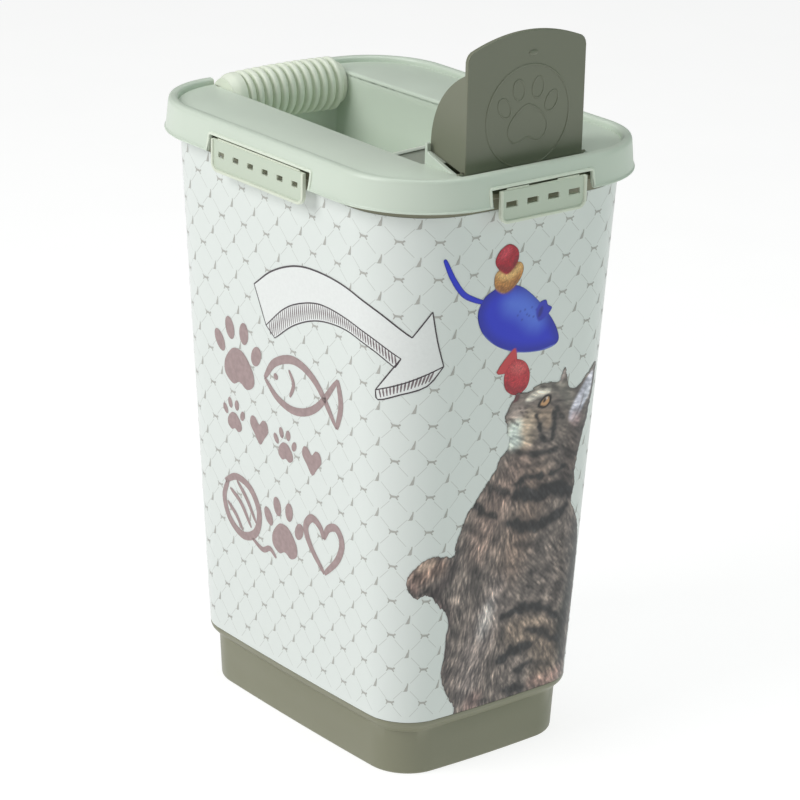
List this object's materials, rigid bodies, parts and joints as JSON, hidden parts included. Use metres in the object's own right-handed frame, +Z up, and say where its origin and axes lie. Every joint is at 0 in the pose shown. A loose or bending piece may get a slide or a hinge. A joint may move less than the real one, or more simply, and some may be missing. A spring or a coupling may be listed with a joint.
{
  "type": "pet food bin",
  "caption": "Tall tapered pet food bin with a printed sleeve, a clip-on lid, a hinged pour flap and a ribbed carry grip sunk in the lid.",
  "frame": {"origin": "centre of the base, on the surface the bin stands on", "axes": "+Z up; X across the width; Y along the length, with the pour flap at -Y and the carry grip at +Y"},
  "size_m": [0.249, 0.3316, 0.552],
  "materials": {
    "tub_plastic": "fine satin moulding grain",
    "sleeve_film": "smooth in-mould printed film",
    "lid_plastic": "satin",
    "grip_plastic": "satin",
    "flap_plastic": "satin",
    "clip_plastic": "satin"
  },
  "bodies": {
    "tub": {"bin_body": "tub_plastic", "printed_sleeve": "sleeve_film"},
    "lid": {"lid_shell": "lid_plastic", "carry_grip": "grip_plastic"},
    "flap": {"pour_flap": "flap_plastic"},
    "front_clip": {"clip_front": "clip_plastic"},
    "right_clip": {"clip_right": "clip_plastic"},
    "back_clip": {"clip_back": "clip_plastic"},
    "left_clip": {"clip_left": "clip_plastic"}
  },
  "joints": [
    {"name": "lid_lift", "type": "slide", "parent": "tub", "child": "lid", "axis": [0, 0, 1], "range_m": [0, 0.15]},
    {"name": "flap_hinge", "type": "hinge", "parent": "lid", "child": "flap", "pos_m": [0, -0.1405, 0.4575], "axis": [-1, 0, 0], "range_deg": [0, 90]},
    {"name": "front_clip_hinge", "type": "hinge", "parent": "lid", "child": "front_clip", "pos_m": [0, -0.1636, 0.4504], "axis": [-1, 0, 0], "range_deg": [0, 100]},
    {"name": "right_clip_hinge", "type": "hinge", "parent": "lid", "child": "right_clip", "pos_m": [0.1223, 0, 0.4504], "axis": [0, -1, 0], "range_deg": [0, 100]},
    {"name": "back_clip_hinge", "type": "hinge", "parent": "lid", "child": "back_clip", "pos_m": [0, 0.1636, 0.4504], "axis": [1, 0, 0], "range_deg": [0, 100]},
    {"name": "left_clip_hinge", "type": "hinge", "parent": "lid", "child": "left_clip", "pos_m": [-0.1223, 0, 0.4504], "axis": [0, 1, 0], "range_deg": [0, 100]}
  ]
}
